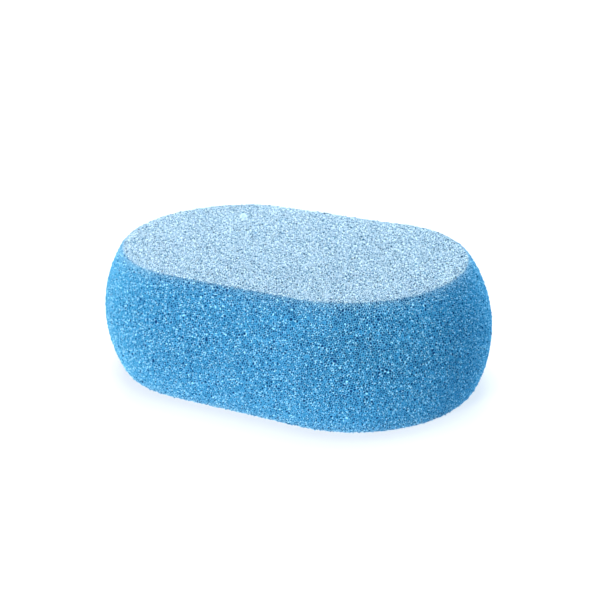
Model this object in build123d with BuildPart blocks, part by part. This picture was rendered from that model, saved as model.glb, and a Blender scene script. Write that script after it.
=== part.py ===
from build123d import *

import os

# An oval hand sponge: one block of open-cell foam with two flat cut faces
# and a wall that bulges like a barrel all the way round.
# Millimetres. The origin is at the centre of the flat underside, +Z is up
# and +X runs along the length.

# Driving dimensions
length = 150.0  # at the widest level
width = 98.0  # at the widest level
thickness = 47.0  # from one flat face to the other
bulge_radius = 46.0  # of the wall's arc, from the underside to the top
widest_height = 21.0  # of the widest level, above the underside

# Derived sizes
half_width = width / 2
end_axis = (length - width) / 2  # from the middle to a round end's upright axis


def wall_reach(height):
    """How far the wall stands out from the long axis at a height."""
    rise = height - widest_height
    return half_width - bulge_radius + (bulge_radius**2 - rise**2) ** 0.5


def wall_points(side):
    """Three points on the wall's arc, going up. The side is 1 or -1."""
    return (
        (side * wall_reach(0), 0),
        (side * half_width, widest_height),
        (side * wall_reach(thickness), thickness),
    )


with BuildPart() as foam_sponge:
    # The straight middle: a barrel-sided section drawn out both ways along the length
    with BuildSketch(Plane.YZ):
        with BuildLine():
            near_wall = ThreePointArc(*wall_points(1))
            far_wall = ThreePointArc(*wall_points(-1))
            Line(near_wall @ 0, far_wall @ 0)
            Line(near_wall @ 1, far_wall @ 1)
        make_face()
    extrude(amount=end_axis, both=True)

    # The round ends: the same wall turned about each end's upright axis
    for end in (-1, 1):
        centre = (end * end_axis, 0, 0)
        with BuildSketch(Plane(origin=centre, x_dir=(1, 0, 0), z_dir=(0, -1, 0))):
            with BuildLine():
                end_wall = ThreePointArc(*wall_points(1))
                Polyline(end_wall @ 1, (0, thickness), (0, 0), end_wall @ 0)
            make_face()
        revolve(axis=Axis(centre, (0, 0, 1)))

foam_sponge.part.label = "foam_sponge"

os.makedirs("parts", exist_ok=True)
export_step(foam_sponge.part, "parts/foam_sponge.step")
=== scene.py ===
import math

import bpy
import numpy as np
from mathutils import Matrix, Vector
from mathutils.geometry import delaunay_2d_cdt


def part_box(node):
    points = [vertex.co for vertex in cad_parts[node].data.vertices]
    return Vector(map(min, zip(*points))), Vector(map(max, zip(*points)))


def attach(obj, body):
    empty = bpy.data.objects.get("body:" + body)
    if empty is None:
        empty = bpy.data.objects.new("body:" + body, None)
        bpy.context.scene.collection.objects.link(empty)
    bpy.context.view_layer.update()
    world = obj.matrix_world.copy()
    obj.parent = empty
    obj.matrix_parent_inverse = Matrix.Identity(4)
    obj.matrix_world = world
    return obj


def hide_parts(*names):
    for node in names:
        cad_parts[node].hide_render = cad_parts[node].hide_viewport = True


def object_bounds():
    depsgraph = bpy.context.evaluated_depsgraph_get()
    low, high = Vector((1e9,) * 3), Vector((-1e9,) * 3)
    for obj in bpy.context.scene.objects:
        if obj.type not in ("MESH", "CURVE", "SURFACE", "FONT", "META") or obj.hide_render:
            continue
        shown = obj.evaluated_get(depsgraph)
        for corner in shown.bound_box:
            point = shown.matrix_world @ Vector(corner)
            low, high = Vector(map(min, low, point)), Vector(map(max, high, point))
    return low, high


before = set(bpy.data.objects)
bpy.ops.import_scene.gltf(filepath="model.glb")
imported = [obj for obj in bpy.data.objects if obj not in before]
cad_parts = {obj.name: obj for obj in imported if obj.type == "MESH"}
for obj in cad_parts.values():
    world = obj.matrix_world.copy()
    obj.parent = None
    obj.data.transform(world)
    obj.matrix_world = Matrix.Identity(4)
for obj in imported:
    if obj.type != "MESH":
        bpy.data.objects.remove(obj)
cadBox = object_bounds()

# An oval sponge cut from open-cell foam. Metres, in the CAD frame.
# The cells are real geometry: seeds are scattered over the block, joined by
# triangles, and each seed's ring of triangles becomes the mouth of one cell.

sponge = {
    # the block
    "bulgeRadius": 0.046,  # of the wall's arc, as in the CAD solid
    "widestHeight": 0.021,  # of the widest level, above the underside
    "edgeRadius": 0.0007,  # the flat faces' edges are a little rubbed
    "waves": [  # gentle unevenness of the whole surface: wavelength, height
        (0.040, 0.00020),
        (0.005, 0.00004),
    ],
    "crumbs": [  # small lumps on the top face: where, radius, height
        (-0.0352, 0.0235, 0.0014, 0.0013),
        (-0.0022, 0.0380, 0.0009, 0.0009),
    ],
    # the cells' places
    "cellWidth": 0.00078,  # a typical cell, across
    "stray": 0.48,  # how far a seed strays from an even pattern, in cell widths
    "edgeStray": 0.3,  # the same for the seeds on an edge, along it
    "bareMargin": 0.45,  # no other seed is as near to an edge, in cell widths
    "missingSeeds": 0.03,  # share left out, so that their neighbours grow
    "bigPores": 200,  # larger bubbles over the whole block
    "bigPoreRadius": (0.0006, 0.0011),
    # the cells' shapes
    "crestRoughness": 0.00017,  # how unevenly the crests were cut
    "strutHalfWidth": (0.00007, 0.00020),  # from a strut's crest to its shoulder
    "strutSlope": 0.00013,  # how far the shoulder lies below the crest
    "shoulderReach": 0.45,  # at most this share of the way to the cell's middle
    "floorStep": 1.8,  # the floor starts this many times as far in as the shoulder
    "floorReach": 0.75,  # and at most this share of the way in
    "cellDepth": (0.00030, 0.00100),  # from crest to floor
    "skinShare": 0.06,  # cells that still have a skin over them
    "skinDepth": 0.00016,
    "skinTilt": 0.00012,  # how unevenly a skin lies
    # what the material is told
    "spread": 1.3,  # how strongly a cell differs from its neighbours
    "shoulderShade": 0.4,  # how deep it looks, for painted shade, where a crest is 0 and a floor is 1
    "skinShade": 0.45,  # the same for a skin
    "paleStruts": 5.0,  # a higher power leaves fewer struts pale and shiny, with a painted glint
    "paleGain": 1.5,  # strengthens the pale struts
    "paleLoss": 1.05,  # weakens a strut where the cells round it have pale ones
    "paleBase": 0.05,  # what every strut has at first
    "glintShare": 0.022,  # how likely a small cell of the wall is to get a painted glint over it
    "glintCorners": 5,  # a small cell has no more corners than this
    "glintUp": 0.9,  # where the surface faces up or down more than this, it has no painted glint
    "crumbPaleness": 0.6,  # the painted highlight of the small lumps
    "sheenFaceUp": (0.62, 0.95),  # how far up or down it faces where the flat faces' painted sheen begins, is full
    "edgeHighlight": (0.40, 0.0016),  # painted highlight on the foam beside a flat face's edge: how much, how far
    "seed": 11,
}


def unit(vectors):
    return vectors / np.linalg.norm(vectors, axis=1, keepdims=True)


class Block:
    # The smooth block that the cells are cut into, taken from the CAD solid's box.

    def __init__(self, node):
        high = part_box(node)[1]
        self.halfWidth = round(high.y, 4)
        self.endAxis = round(high.x, 4) - self.halfWidth  # a round end's upright axis
        self.height = round(high.z, 4)
        self.radius = sponge["bulgeRadius"]
        self.level = sponge["widestHeight"]
        self.halfTurn = math.pi * self.halfWidth  # the outline's length round one end
        self.around = 2 * self.halfTurn + 4 * self.endAxis
        self.lowRise = -self.radius * math.asin(self.level / self.radius)
        self.highRise = self.radius * math.asin((self.height - self.level) / self.radius)

    def wall(self, along, rise):
        # Along goes round the widest outline from the middle of the back, towards -X.
        # Rise is measured on the wall's arc, from the widest level.
        turn = rise / self.radius
        reach = self.halfWidth - self.radius * (1 - np.cos(turn))
        leftTurn = np.clip(along - self.endAxis, 0, self.halfTurn)
        rightTurn = np.clip(along - 3 * self.endAxis - self.halfTurn, 0, self.halfTurn)
        facing = math.pi / 2 + (leftTurn + rightTurn) / self.halfWidth
        back = np.clip(along, 0, self.endAxis)
        front = np.clip(along - self.endAxis - self.halfTurn, 0, 2 * self.endAxis)
        backAgain = np.clip(along - 3 * self.endAxis - 2 * self.halfTurn, 0, self.endAxis)
        x = front - back - backAgain + reach * np.cos(facing)
        y = reach * np.sin(facing)
        z = self.level + self.radius * np.sin(turn)
        points = np.column_stack([x, y, z])
        normals = np.column_stack([
            np.cos(turn) * np.cos(facing), np.cos(turn) * np.sin(facing), np.sin(turn)])
        return points, normals

    def unwrapWall(self, points):
        # The reverse of wall(), for points on or near the wall.
        x, y, z = points.T
        spine = np.clip(x, -self.endAxis, self.endAxis)
        reach = np.hypot(x - spine, y)
        rise = self.radius * np.arctan2(
            z - self.level, reach - self.halfWidth + self.radius)
        swing = np.arctan2(x - spine, y) * self.halfWidth  # from straight back, to +X
        along = np.where(y >= 0, -spine, spine + 2 * self.endAxis + self.halfTurn)
        along = np.where(x < -self.endAxis, self.endAxis - swing, along)
        along = np.where(
            x > self.endAxis, 3 * self.endAxis + 2 * self.halfTurn - swing, along)
        return np.mod(along, self.around), rise

    def wallReach(self, z):
        return self.halfWidth - self.radius + np.sqrt(self.radius**2 - (z - self.level) ** 2)

    def roundEdges(self, points, normals):
        # Draws what lies near a flat face's edge onto a small arc
        radius = sponge["edgeRadius"]
        tiny = 1e-6  # keeps a division from failing in the middle
        x, y, z = points.T.copy()
        spine = np.clip(x, -self.endAxis, self.endAxis)
        out = np.hypot(x - spine, y)
        fromWall = self.wallReach(z) - out
        top = z > self.height / 2
        fromFace = np.where(top, self.height - z, z)
        outwards = radius - fromWall
        upwards = radius - fromFace
        length = np.hypot(outwards, upwards)
        near = (outwards > 0) & (upwards > 0) & (length > radius)
        shrink = np.where(near, 1 - radius / length, 0)
        scale = 1 - outwards * shrink / np.maximum(out, radius)
        x = spine + (x - spine) * scale
        y = y * scale
        z = z + np.where(top, -1, 1) * upwards * shrink
        around = np.column_stack([x - spine, y, np.zeros(len(x))])
        around = around / np.maximum(np.linalg.norm(around, axis=1, keepdims=True), tiny)
        turned = around * outwards[:, None]
        turned[:, 2] = np.where(top, 1, -1) * upwards
        normals = np.where(near[:, None], turned, normals)
        return np.column_stack([x, y, z]), unit(normals)

    def inside(self, flat, reach):
        spine = np.clip(flat[:, 0], -self.endAxis, self.endAxis)
        return np.hypot(flat[:, 0] - spine, flat[:, 1]) < reach


def scatterSeeds(low, high, spacing, rng):
    # An offset grid over a rectangle, each seed moved at random.
    rowStep = spacing * math.sqrt(3) / 2
    columns = np.arange(low[0], high[0], spacing)
    rows = np.arange(low[1], high[1], rowStep)
    x, y = np.meshgrid(columns, rows)
    x = x + spacing / 2 * (np.arange(len(rows)) % 2)[:, None]
    seeds = np.column_stack([x.ravel(), y.ravel()])
    return seeds + rng.uniform(-1, 1, seeds.shape) * spacing * sponge["stray"]


def openBigPores(seeds, count, rng):
    # A larger bubble: its own seed stays and the ones close round it go.
    keep = rng.random(len(seeds)) > sponge["missingSeeds"]
    for centre in rng.choice(len(seeds), count, replace=False):
        away = np.hypot(*(seeds - seeds[centre]).T)
        close = away < rng.uniform(*sponge["bigPoreRadius"])
        close[centre] = False
        if keep[centre]:
            keep &= ~close
    return seeds[keep]


def joinSeeds(flat):
    # Triangles between seeds, as rows of three indices
    return np.array(delaunay_2d_cdt([Vector(p) for p in flat.tolist()], [], [], 0, 0)[2])


def edgeSeeds(block, rng):
    # Seeds on the wall's lower and upper edge, as places along and up the wall
    count = round(block.around / sponge["cellWidth"])
    limit = sponge["edgeStray"]
    strays = rng.uniform(-limit, limit, (2, count))
    strays[:, 0] = 0
    edges = []
    for stray, rise in zip(strays, (block.lowRise, block.highRise)):
        along = (np.arange(count) + stray) * block.around / count
        along = np.append(along, block.around)
        edges.append(np.column_stack([along, np.full(count + 1, rise)]))
    return edges


def wallPatch(block, edges, rng):
    # The wall, unrolled: its two ends meet in the middle of the back
    cell = sponge["cellWidth"]
    margin = sponge["bareMargin"] * cell
    low = np.array([0, block.lowRise])
    high = np.array([block.around, block.highRise])
    inner = scatterSeeds(low, high, cell, rng)
    inner = inner[np.all((inner > low + margin) & (inner < high - margin), axis=1)]
    inner = openBigPores(inner, sponge["bigPores"] // 2, rng)
    seamRise = np.arange(block.lowRise + cell, block.highRise - cell / 2, cell)
    seams = [np.column_stack([np.full(len(seamRise), along), seamRise])
             for along in (0, block.around)]
    flat = np.vstack([inner, *edges, *seams])
    points, normals = block.wall(flat[:, 0], flat[:, 1])
    return points, normals, joinSeeds(flat)


def facePatch(block, edge, height, up, rng):
    # A flat face, out to the seeds that it shares with the wall
    cell = sponge["cellWidth"]
    rim = block.wall(edge[:-1, 0], edge[:-1, 1])[0][:, :2]
    reach = block.wallReach(height)
    span = block.endAxis + reach
    inner = scatterSeeds((-span, -reach), (span, reach), cell, rng)
    inner = inner[block.inside(inner, reach - sponge["bareMargin"] * cell)]
    inner = openBigPores(inner, sponge["bigPores"] // 4, rng)
    flat = np.vstack([inner, rim])
    faces = joinSeeds(flat)
    points = np.column_stack([flat, np.full(len(flat), height)])
    normals = np.tile((0.0, 0.0, up), (len(flat), 1))
    return points, normals, faces if up > 0 else faces[:, ::-1]


def netOverBlock(block, rng):
    # Triangles over the whole block: the wall first, then the two flat faces.
    edges = edgeSeeds(block, rng)
    wall = wallPatch(block, edges, rng)
    underside = facePatch(block, edges[0], 0.0, -1.0, rng)
    top = facePatch(block, edges[1], block.height, 1.0, rng)
    return [wall, underside, top]


def weld(patches):
    # One list of seeds. The seeds on an edge belong to both sides of it.
    decimals = 7  # seeds that agree to a tenth of a micrometre are the same
    starts = np.cumsum([0] + [len(points) for points, _, _ in patches])
    points = np.vstack([p for p, _, _ in patches])
    normals = np.vstack([n for _, n, _ in patches])
    faces = np.vstack([f + start for (_, _, f), start in zip(patches, starts)])
    _, first, same = np.unique(
        np.round(points, decimals), axis=0, return_index=True, return_inverse=True)
    same = same.ravel()
    summed = np.zeros((len(first), 3))
    np.add.at(summed, same, normals)
    return points[first], unit(summed), same[faces]


def waves(points, wavelength, rng):
    # Smooth random ups and downs, about -1 to 1
    count = 16
    usualSum = 5  # so many waves seldom add up to more
    directions = unit(rng.normal(0, 1, (count, 3))) * 2 * math.pi / wavelength
    phases = rng.uniform(0, 2 * math.pi, count)
    return np.sin(points @ directions.T + phases).sum(1) / usualSum


def apart(values, triangles):
    # Makes each cell's value, from 0 to 1, unlike its neighbours'
    cell = triangles.ravel()
    others = values[np.roll(triangles, 1, axis=1)] + values[np.roll(triangles, -1, axis=1)]
    others = np.bincount(cell, others.ravel()) / np.bincount(cell) / 2
    return np.clip(0.5 + sponge["spread"] * (values - others), 0, 1)


def lumps(block, points):
    # How far each point is lifted by the crumbs on the top face
    lift = np.zeros(len(points))
    for x, y, radius, height in sponge["crumbs"]:
        away = np.hypot(points[:, 0] - x, points[:, 1] - y) / radius
        lift += height * np.exp(-away**4) * (points[:, 2] > block.height / 2)
    return lift


def cutCrests(block, seeds, seedNormals, triangles, rng):
    # Crests stand where three cells meet, at the middle of each triangle
    crests = seeds[triangles].mean(1)
    normals = unit(seedNormals[triangles].mean(1))
    uneven = rng.normal(0, 1, len(crests)) * sponge["crestRoughness"]
    for wavelength, height in sponge["waves"]:
        uneven += waves(crests, wavelength, rng) * height
    crests = crests + normals * uneven[:, None]
    crests[:, 2] += lumps(block, crests)
    return crests, normals


def ringsOfCrests(triangles, seedCount):
    # Each cell's ring of crests: every corner of a triangle is one place in the ring of
    # its seed, and the next place is in the triangle over the edge that comes before it
    owner = triangles.ravel()
    crest = np.repeat(np.arange(len(triangles)), 3)
    leaving = owner * seedCount + np.roll(triangles, -1, axis=1).ravel()
    arriving = owner * seedCount + np.roll(triangles, 1, axis=1).ravel()
    byEdge = np.argsort(leaving)
    following = byEdge[np.searchsorted(leaving[byEdge], arriving)]
    corners = np.bincount(owner)

    # Put the places of each ring one after another
    here = np.unique(owner, return_index=True)[1]
    place = np.full(len(owner), -1)
    for step in range(corners.max()):
        place[here] = np.where(place[here] < 0, step, place[here])
        here = following[here]
    order = np.lexsort((place, owner))
    firstPlace = np.cumsum(corners) - corners
    following = np.arange(len(owner)) + 1
    following[firstPlace + corners - 1] = firstPlace
    return owner[order], crest[order], following, corners


def hollowCells(seedNormals, triangles, crests, rings, onLump, rng):
    # Shoulder and floor of every cell, a little inside the crests
    owner, crest, _, corners = rings
    middle = np.zeros_like(seedNormals)
    np.add.at(middle, owner, crests[crest])
    middle /= corners[:, None]
    inward = middle[owner] - crests[crest]
    distance = np.linalg.norm(inward, axis=1, keepdims=True)
    skinned = (rng.random(len(corners)) < sponge["skinShare"]) | onLump
    depth = apart(rng.random(len(corners)), triangles)
    shallow, deep = sponge["cellDepth"]
    depth = shallow + (deep - shallow) * depth
    depth = np.where(skinned, sponge["skinDepth"], depth)[owner]
    tilt = rng.normal(0, sponge["skinTilt"], (len(corners), 3)) * skinned[:, None]
    depth = depth + (unit(inward) * tilt[owner]).sum(1)
    width = rng.uniform(*sponge["strutHalfWidth"], len(crests))[crest, None]
    step = np.minimum(width / distance, sponge["shoulderReach"])
    down = seedNormals[owner]
    shoulders = crests[crest] + inward * step - down * sponge["strutSlope"]
    step = np.minimum(sponge["floorStep"] * step, sponge["floorReach"])
    floors = crests[crest] + inward * step - down * depth[:, None]
    return shoulders, floors, skinned


def shadeCells(seedNormals, triangles, rings, skinned, onLump, rng):
    # How deep each point looks, for painted shade in the cells, how its cell differs, and how
    # pale and shiny it is, for painted glints
    owner, crest, _, corners = rings
    crestShade = np.zeros(len(triangles))
    shoulderShade = np.full(len(owner), sponge["shoulderShade"])
    floorShade = np.where(skinned[owner], sponge["skinShade"], 1)
    tint = apart(rng.random(len(corners)), triangles)[owner]
    crestTint = rng.random(len(triangles))

    # Pale struts are painted glints, and stand apart: each pales less where its neighbours
    # are pale, and its shoulders pale less than its crest. On the wall, a few small cells get
    # a painted glint over them, which is pale too.
    pale = rng.random(len(triangles)) ** sponge["paleStruts"]
    nearby = (np.bincount(owner, pale[crest]) / corners)[triangles].mean(1)
    pale = sponge["paleGain"] * pale - sponge["paleLoss"] * nearby + sponge["paleBase"]
    pale = np.clip(pale, 0, 1)
    glint = rng.random(len(corners)) < sponge["glintShare"]
    glint = glint & (corners <= sponge["glintCorners"])
    glint = glint & (np.abs(seedNormals[:, 2]) < sponge["glintUp"])
    # the small lumps get part of the painted glint too
    glint = np.where(onLump, sponge["crumbPaleness"], glint)[owner]
    return {
        "pore": np.concatenate([crestShade, shoulderShade, floorShade]),
        "tint": np.concatenate([crestTint, tint, tint]),
        "pale": np.concatenate([pale, np.maximum(pale[crest] ** 2, glint), glint]),
    }


def faceSheenShare(block, points, normals):
    # How much of the flat faces' paleness each point has: painted sheen, the foam painted
    # paler where light falls on it
    begins, full = sponge["sheenFaceUp"]
    share = np.clip((np.abs(normals[:, 2]) - begins) / (full - begins), 0, 1)
    # the wall beside a flat face's edge gets a painted highlight
    much, far = sponge["edgeHighlight"]
    fromFace = np.minimum(block.height - points[:, 2], points[:, 2])
    return np.maximum(share, much * np.exp(-np.maximum(fromFace, 0) / far))


def cutCells(block, seeds, seedNormals, triangles, rng):
    # The points run crests first, then shoulders, then floors
    crests, crestNormals = cutCrests(block, seeds, seedNormals, triangles, rng)
    rings = ringsOfCrests(triangles, len(seeds))
    owner, crest, following, corners = rings
    onLump = lumps(block, seeds) > sponge["skinDepth"]
    shoulders, floors, skinned = hollowCells(
        seedNormals, triangles, crests, rings, onLump, rng)
    points = np.vstack([crests, shoulders, floors])
    normals = np.vstack([crestNormals, seedNormals[owner], seedNormals[owner]])
    layers = shadeCells(seedNormals, triangles, rings, skinned, onLump, rng)
    # the share of painted sheen and painted highlight, for the material
    layers["cutFace"] = faceSheenShare(block, points, normals)

    shoulder = len(crests) + np.arange(len(owner))
    floor = shoulder + len(owner)
    slopes = np.column_stack([crest, crest[following], shoulder[following], shoulder])
    walls = np.column_stack([shoulder, shoulder[following], floor[following], floor])
    return {
        "points": points,
        "loops": np.concatenate([slopes.ravel(), walls.ravel(), floor]),
        "sizes": np.concatenate([np.full(2 * len(owner), 4), corners]),
        "cellOfFace": np.concatenate([owner, owner, np.arange(len(seeds))]),
        "layers": layers,
    }


def layFlat(block, cells, seeds, seedNormals):
    # Map coordinates for each corner of each face, in the square from 0 to 1.
    # The wall is two strips along the bottom, the flat faces are side by side above.
    margin = 0.01
    stripLength = 0.98
    stripHeight = 0.18
    stripStep = 0.20
    faceLength = 0.48
    faceWidth = 0.56
    faceHeight = 0.71
    topPlace = 0.25
    undersidePlace = 0.75
    flatUp = 0.99  # a flat face's seeds face up or down more than this
    owner = np.repeat(cells["cellOfFace"], cells["sizes"])
    spots = cells["points"][cells["loops"]]
    seedAlong, _ = block.unwrapWall(seeds)
    along, rise = block.unwrapWall(spots)
    half = block.around / 2
    nearSeed = np.mod(along - seedAlong[owner] + half, block.around) - half
    strip = (seedAlong[owner] > half).astype(float)
    u = margin + stripLength * (seedAlong[owner] + nearSeed - strip * half) / half
    full = block.highRise - block.lowRise
    v = margin + stripStep * strip + stripHeight * (rise - block.lowRise) / full
    up = seedNormals[owner, 2]
    flat = np.abs(up) > flatUp
    length = 2 * (block.endAxis + block.halfWidth)
    faceU = np.where(up > 0, topPlace, undersidePlace) + faceLength * spots[:, 0] / length
    faceV = faceHeight + faceWidth * spots[:, 1] / (2 * block.halfWidth)
    return np.column_stack([np.where(flat, faceU, u), np.where(flat, faceV, v)])


def meshFrom(name, cells, mapped):
    mesh = bpy.data.meshes.new(name)
    mesh.vertices.add(len(cells["points"]))
    mesh.vertices.foreach_set("co", cells["points"].ravel())
    mesh.loops.add(len(cells["loops"]))
    mesh.loops.foreach_set("vertex_index", cells["loops"].astype(np.int32))
    mesh.polygons.add(len(cells["sizes"]))
    starts = np.cumsum(cells["sizes"]) - cells["sizes"]
    mesh.polygons.foreach_set("loop_start", starts.astype(np.int32))
    mesh.update(calc_edges=True)
    mesh.polygons.foreach_set("use_smooth", np.ones(len(starts), bool))
    for layer, values in cells["layers"].items():
        made = mesh.attributes.new(layer, "FLOAT", "POINT")
        made.data.foreach_set("value", values.astype(np.float32))
    mesh.uv_layers.new(name="OFBake").data.foreach_set("uv", mapped.ravel())
    mesh.validate()
    piece = bpy.data.objects.new(name, mesh)
    bpy.context.scene.collection.objects.link(piece)
    return piece


def makeSponge():
    rng = np.random.default_rng(sponge["seed"])
    block = Block("foam_sponge")
    seeds, seedNormals, triangles = weld(netOverBlock(block, rng))
    seeds, seedNormals = block.roundEdges(seeds, seedNormals)
    cells = cutCells(block, seeds, seedNormals, triangles, rng)
    cells["points"][:, 2] = np.maximum(cells["points"][:, 2], 0)  # it rests on its underside
    mapped = layFlat(block, cells, seeds, seedNormals)
    print("sponge:", len(seeds), "cells,", len(cells["points"]), "points")
    return meshFrom("spongeFoam", cells, mapped)


# Materials

class Value:
    # A socket that can be used in sums. Each sum adds its Math node.

    def __init__(self, tree, socket):
        self.tree = tree
        self.socket = socket

    def maths(self, operation, first, second):
        return self.tree.node("Math", {"operation": operation}, {0: first, 1: second})

    def __add__(self, other):
        return self.maths("ADD", self, other)

    def __radd__(self, other):
        return self.maths("ADD", other, self)

    def __sub__(self, other):
        return self.maths("SUBTRACT", self, other)

    def __rsub__(self, other):
        return self.maths("SUBTRACT", other, self)

    def __mul__(self, other):
        return self.maths("MULTIPLY", self, other)

    def __rmul__(self, other):
        return self.maths("MULTIPLY", other, self)


class Tree:
    # Adds nodes to a material or a world, and returns each one's output as a Value.

    def __init__(self, owner):
        owner.use_nodes = True
        self.nodes = owner.node_tree.nodes
        self.links = owner.node_tree.links
        self.nodes.clear()

    def node(self, kind, settings=None, sockets=None, output=0):
        made = self.nodes.new("ShaderNode" + kind)
        for name, setting in (settings or {}).items():
            if name == "stops":
                self.setStops(made.color_ramp, setting)
            else:
                setattr(made, name, setting)
        for name, given in (sockets or {}).items():
            if isinstance(given, Value):
                self.links.new(given.socket, made.inputs[name])
            else:
                made.inputs[name].default_value = given
        return Value(self, made.outputs[output]) if made.outputs else made

    def setStops(self, ramp, stops):
        while len(ramp.elements) > 1:
            ramp.elements.remove(ramp.elements[0])
        ramp.elements[0].position, ramp.elements[0].color = stops[0]
        for position, colour in stops[1:]:
            ramp.elements.new(position).color = colour

    def mix(self, factor, first, second):
        # Colours sit on the Mix node's sockets 6 and 7, and its colour output is 2
        return self.node("Mix", {"data_type": "RGBA"}, {0: factor, 6: first, 7: second}, 2)


foam = {
    # each face's pale struts, other struts, cell walls and cell floors; the pale struts are
    # painted glints, the darker walls and floors painted shade
    "wall": [
        (0.34, 0.76, 1.0, 1),
        (0.084, 0.39, 0.67, 1),
        (0.017, 0.21, 0.46, 1),
        (0.001, 0.045, 0.16, 1),
    ],
    # the flat faces' set: the same foam, painted paler as sheen where light falls on it
    "cutFace": [
        (0.72, 0.95, 1.0, 1),
        (0.58, 0.78, 0.92, 1),
        (0.040, 0.20, 0.39, 1),
        (0.001, 0.03, 0.09, 1),
    ],
    "depths": (0.0, 0.42, 0.85),  # of struts, cell walls and cell floors, each deeper one darker: painted shade
    "tintShare": 0.3,  # how much paler or deeper one cell is than another
    "glossy": 0.15,  # roughness of the palest struts
    "dull": 0.60,  # and of the rest
    "specular": 0.10,
}


def foamMaterial():
    material = bpy.data.materials.new("blueFoam")
    tree = Tree(material)
    pore, sheenShare, tint, pale = (
        tree.node("Attribute", {"attribute_name": name}, output=2)  # as a number
        for name in ("pore", "cutFace", "tint", "pale"))
    depth = tree.node("Clamp", {}, {"Value": pore + foam["tintShare"] * (tint - 0.5)})
    colours = []
    # the wall's own colours, and the flat faces' colours with painted sheen
    for face in ("wall", "cutFace"):
        paleColour, *others = foam[face]
        # colours darken from struts to cell floors by depth: painted shade in the cells. The
        # pale mix over them is a painted glint.
        ramp = tree.node("ValToRGB", {"stops": list(zip(foam["depths"], others))}, {0: depth})
        colours.append(tree.mix(pale, ramp, paleColour))
    roughness = foam["glossy"] + (foam["dull"] - foam["glossy"]) * (1 - pale)
    shader = tree.node("BsdfPrincipled", {}, {
        "Base Color": tree.mix(sheenShare, *colours), "Roughness": roughness,
        "Specular IOR Level": foam["specular"]})
    tree.node("OutputMaterial", {}, {"Surface": shader})
    return material


spongePiece = makeSponge()
spongePiece.data.materials.append(foamMaterial())
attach(spongePiece, "root")
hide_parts("foam_sponge")
print("material: blue foam")

# Studio: a white floor, a bright room and soft lights

studio = {
    "floorSize": 6.0,
    "floorGap": 0.0001,  # how far the floor lies below the sponge
    "floorColour": (0.30, 0.30, 0.30, 1),
    "floorRoughness": 0.9,
    "glowColour": (0.86, 0.92, 1.0, 1),  # a little blue, as if light came through the foam
    "floorGlow": 0.785,  # the floor is a lit panel
    "farGlow": 1.25,  # and brighter where the lights don't reach
    "glowReach": (0.3, 1.0),  # where that begins and ends, from the middle
    "roomGlow": 0.05,  # what lights the sponge
    "backdropGlow": 1.1,  # what the camera sees
    "lightsAim": (0, 0, 0.02),
    "lights": [
        # name, place, width, height, watts, colour
        ("front", (-0.2, -1.0, 0.25), 0.25, 0.2, 13.0, (1, 0.90, 0.83)),
        ("overhead", (0, 0, 1.0), 0.5, 0.5, 8.4, (1, 1, 1)),
        ("back", (-0.35, 0.58, 0.26), 0.6, 0.3, 11.0, (1, 1, 1)),
        ("backRight", (0.6, 0.75, 0.35), 0.5, 0.4, 5.5, (0.5, 0.87, 1)),
        ("right", (0.9, -0.35, 0.14), 0.3, 0.2, 2.2, (0.2, 0.75, 1)),
    ],
}


def makeFloor():
    material = bpy.data.materials.new("paleFloor")
    tree = Tree(material)
    spot = tree.node("TexCoord", output=3)  # the place on the floor
    away = tree.node("VectorMath", {"operation": "LENGTH"}, {0: spot}, 1)
    near, far = studio["glowReach"]
    beyond = tree.node("MapRange", {}, {"Value": away, "From Min": near, "From Max": far})
    *farColour, opaque = studio["glowColour"]
    nearShare = studio["floorGlow"] / studio["farGlow"]
    nearColour = [nearShare * part for part in farColour]
    glow = tree.mix(beyond, (*nearColour, opaque), (*farColour, opaque))
    shader = tree.node("BsdfPrincipled", {}, {
        "Base Color": studio["floorColour"], "Roughness": studio["floorRoughness"],
        "Specular IOR Level": 0.0,
        "Emission Color": glow, "Emission Strength": studio["farGlow"]})
    tree.node("OutputMaterial", {}, {"Surface": shader})
    mesh = bpy.data.meshes.new("floor")
    half = studio["floorSize"] / 2
    below = -studio["floorGap"]
    corners = ((-half, -half), (half, -half), (half, half), (-half, half))
    mesh.from_pydata([(x, y, below) for x, y in corners], [], [(0, 1, 2, 3)])
    mesh.materials.append(material)
    floor = bpy.data.objects.new("floor", mesh)
    bpy.context.scene.collection.objects.link(floor)


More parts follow.
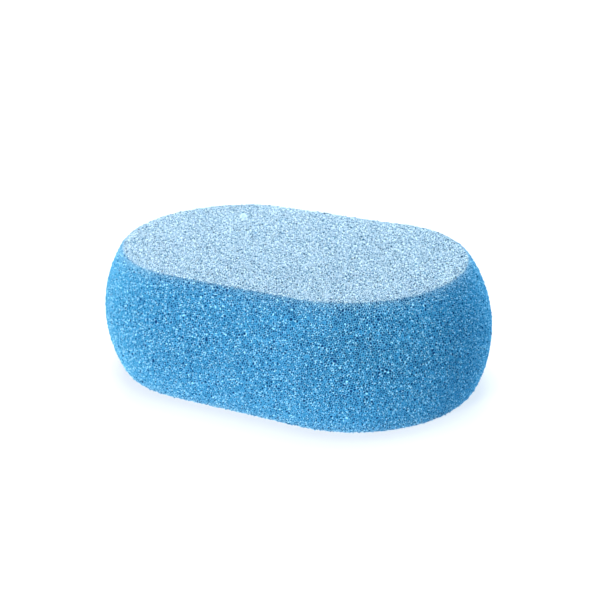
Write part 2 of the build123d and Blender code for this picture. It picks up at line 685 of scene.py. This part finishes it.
def makeRoom():
    world = bpy.data.worlds.new("room")
    bpy.context.scene.world = world
    tree = Tree(world)
    seen = tree.node("LightPath", output=0)  # 1 for what the camera sees directly
    glow = studio["roomGlow"] + (studio["backdropGlow"] - studio["roomGlow"]) * seen
    background = tree.node("Background", {}, {"Color": (1, 1, 1, 1), "Strength": glow})
    tree.node("OutputWorld", {}, {"Surface": background})


def makeLights():
    for name, place, width, height, watts, colour in studio["lights"]:
        light = bpy.data.lights.new(name, "AREA")
        light.shape = "RECTANGLE"
        light.size = width
        light.size_y = height
        light.energy = watts
        light.color = colour
        lamp = bpy.data.objects.new(name, light)
        lamp.location = place
        away = Vector(place) - Vector(studio["lightsAim"])
        lamp.rotation_euler = away.to_track_quat("Z", "Y").to_euler()
        bpy.context.scene.collection.objects.link(lamp)


view = {
    "azimuth": 30.4,  # degrees to the right of straight in front
    "elevation": 23.0,
    "tilt": -2.25,  # the camera leans a little to its right
    "distance": 0.489,  # from the middle of the sponge
    "aimRight": 0.0024,
    "aimUp": 0.0026,
    "lens": 78.4,  # mm
    "sensor": 36,  # mm
}


def makeCamera():
    azimuth = math.radians(view["azimuth"])
    elevation = math.radians(view["elevation"])
    tilt = math.radians(view["tilt"])
    back = Vector((
        math.sin(azimuth) * math.cos(elevation),
        -math.cos(azimuth) * math.cos(elevation),
        math.sin(elevation)))
    right = Vector((math.cos(azimuth), math.sin(azimuth), 0))
    up = back.cross(right)
    middle = (Vector(cadBox[0]) + Vector(cadBox[1])) / 2
    place = middle + back * view["distance"]
    aim = middle + right * view["aimRight"] + up * view["aimUp"]
    back = (place - aim).normalized()
    right = Vector((0, 0, 1)).cross(back).normalized()
    up = back.cross(right)
    tiltedRight = right * math.cos(tilt) + up * math.sin(tilt)
    tiltedUp = up * math.cos(tilt) - right * math.sin(tilt)
    camera = bpy.data.objects.new("camera", bpy.data.cameras.new("camera"))
    camera.data.lens = view["lens"]
    camera.data.sensor_width = view["sensor"]
    turn = Matrix((tiltedRight, tiltedUp, back)).transposed().to_4x4()
    camera.matrix_world = Matrix.Translation(place) @ turn
    bpy.context.scene.collection.objects.link(camera)
    bpy.context.scene.camera = camera


makeFloor()
makeRoom()
makeLights()
makeCamera()
bpy.context.scene.view_settings.view_transform = "Standard"
print("studio: floor, room, lights and camera")
